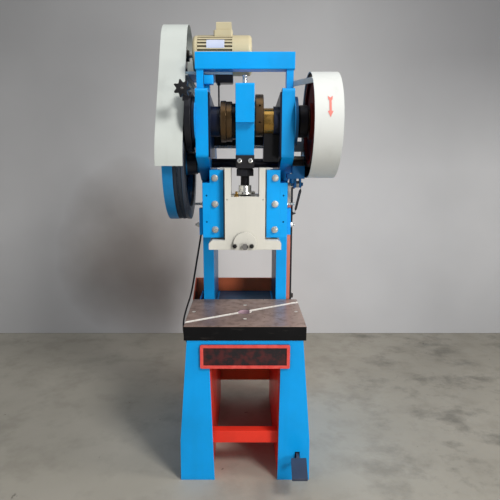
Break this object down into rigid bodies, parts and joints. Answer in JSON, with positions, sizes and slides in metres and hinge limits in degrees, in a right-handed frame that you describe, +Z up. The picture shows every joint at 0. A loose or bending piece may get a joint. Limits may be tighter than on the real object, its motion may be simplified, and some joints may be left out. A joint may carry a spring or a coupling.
{
  "type": "mechanical stamping press",
  "caption": "Open-front geared stamping press on a welded floor stand, with belt-driven flywheel, crank-driven ram, slotted bolster and foot pedal trip.",
  "frame": {"origin": "centre of the round die hole at the bolster's top face, on the press centre line", "axes": "+Z up, -Y towards the operator, +X to the operator's right; the floor is at Z -0.600"},
  "size_m": [0.622, 0.802, 1.674],
  "materials": {
    "blue_paint": "gloss",
    "red_paint": "satin",
    "cream_paint": "gloss",
    "beige_paint": "satin",
    "grey_paint": "satin",
    "dark_red_paint": "satin",
    "charcoal_paint": "satin",
    "machined_steel": "ground",
    "dark_steel": "oily",
    "zinc_steel": "plated",
    "bronze": "worn",
    "belt_rubber": "matt",
    "knob_plastic": "gloss",
    "cable_skin": "satin"
  },
  "bodies": {
    "frame": {"side_plate_left": "blue_paint", "side_plate_right": "blue_paint", "frame_webs": "blue_paint", "tie_rod": "machined_steel", "main_bushes": "bronze", "back_shaft_bushes": "bronze", "bolster": "dark_steel", "stand_front": "blue_paint", "stand_sides": "blue_paint", "stand_rear": "red_paint", "stand_inner_sheets": "red_paint", "stand_crossbar": "red_paint", "nameplate": "blue_paint", "top_frame": "blue_paint", "motor_plate": "blue_paint", "motor_body": "beige_paint", "motor_end_shield": "beige_paint", "motor_fan_cowl": "beige_paint", "terminal_box": "beige_paint", "v_belts": "belt_rubber", "belt_guard": "cream_paint", "gear_guard": "cream_paint", "guide_blocks": "blue_paint", "gibs": "machined_steel", "keep_plates": "blue_paint", "keep_bolts": "zinc_steel", "gib_screws": "zinc_steel", "brake_band": "machined_steel", "oiler": "charcoal_paint", "trip_bracket": "blue_paint", "rod_guide": "blue_paint", "return_spring": "machined_steel", "cable": "cable_skin", "cable_fittings": "knob_plastic"},
    "crankshaft": {"crankshaft": "machined_steel", "stroke_collars": "bronze", "eccentric_flange": "bronze", "brake_drum": "dark_steel", "clutch_body": "dark_steel", "crank_end_nut": "machined_steel"},
    "connecting_rod": {"connecting_rod": "blue_paint", "rod_bush": "bronze", "clamp_block": "charcoal_paint", "clamp_bolts": "zinc_steel", "ball_screw": "machined_steel", "oil_cup": "bronze"},
    "ram": {"ram": "grey_paint", "tool_cap": "dark_steel", "tool_cap_screws": "machined_steel"},
    "bull_gear": {"bull_gear": "dark_red_paint", "bull_gear_bush": "bronze"},
    "back_shaft": {"back_shaft": "machined_steel", "flywheel": "blue_paint", "pinion": "dark_steel"},
    "motor_rotor": {"motor_rotor": "machined_steel", "motor_pulley": "dark_steel"},
    "brake_knob": {"brake_knob": "knob_plastic"},
    "trip_lever": {"trip_lever": "machined_steel"},
    "pull_rod": {"pull_rod": "machined_steel"},
    "pedal": {"pedal": "charcoal_paint"}
  },
  "joints": [
    {"name": "crank_turn", "type": "hinge", "parent": "frame", "child": "crankshaft", "pos_m": [0, 0, 0.703], "axis": [1, 0, 0], "range_deg": [0, 180]},
    {"name": "rod_swing", "type": "hinge", "parent": "crankshaft", "child": "connecting_rod", "pos_m": [0, 0, 0.723], "axis": [1, 0, 0], "range_deg": [-180, 0]},
    {"name": "ram_slide", "type": "slide", "parent": "frame", "child": "ram", "axis": [0, 0, 1], "range_m": [-0.04, 0]},
    {"name": "back_shaft_spin", "type": "hinge", "parent": "frame", "child": "back_shaft", "pos_m": [0, 0.136, 0.55636], "axis": [1, 0, 0], "continuous": true},
    {"name": "bull_gear_spin", "type": "hinge", "parent": "frame", "child": "bull_gear", "pos_m": [0, 0, 0.703], "axis": [1, 0, 0], "continuous": true},
    {"name": "motor_spin", "type": "hinge", "parent": "frame", "child": "motor_rotor", "pos_m": [0, 0.136, 0.949], "axis": [1, 0, 0], "continuous": true},
    {"name": "brake_knob_turn", "type": "hinge", "parent": "frame", "child": "brake_knob", "pos_m": [-0.203, -0.135, 0.798], "axis": [0, 1, 0], "range_deg": [-180, 180]},
    {"name": "pedal_press", "type": "hinge", "parent": "frame", "child": "pedal", "pos_m": [0.192, 0.44, -0.505], "axis": [1, 0, 0], "range_deg": [0, 5.2], "stiffness_Nm_per_rad": 60, "springref_deg": -14.32},
    {"name": "pull_rod_slide", "type": "slide", "parent": "frame", "child": "pull_rod", "axis": [0, 0, 1], "range_m": [-0.0197, 0], "deforming": ["return_spring"]},
    {"name": "trip_lever_turn", "type": "hinge", "parent": "frame", "child": "trip_lever", "pos_m": [0.192, 0.015, 0.482], "axis": [1, 0, 0], "range_deg": [-5.4, 0]}
  ],
  "couplings": [
    {"joint": "rod_swing", "follows": "crank_turn", "ratio": -1},
    {"joint": "ram_slide", "follows": "crank_turn", "m_per_rad": -0.012732},
    {"joint": "bull_gear_spin", "follows": "back_shaft_spin", "ratio": -0.28205},
    {"joint": "motor_spin", "follows": "back_shaft_spin", "ratio": 5.385},
    {"joint": "pull_rod_slide", "follows": "pedal_press", "m_per_rad": -0.216},
    {"joint": "trip_lever_turn", "follows": "pedal_press", "ratio": -1.0335}
  ]
}
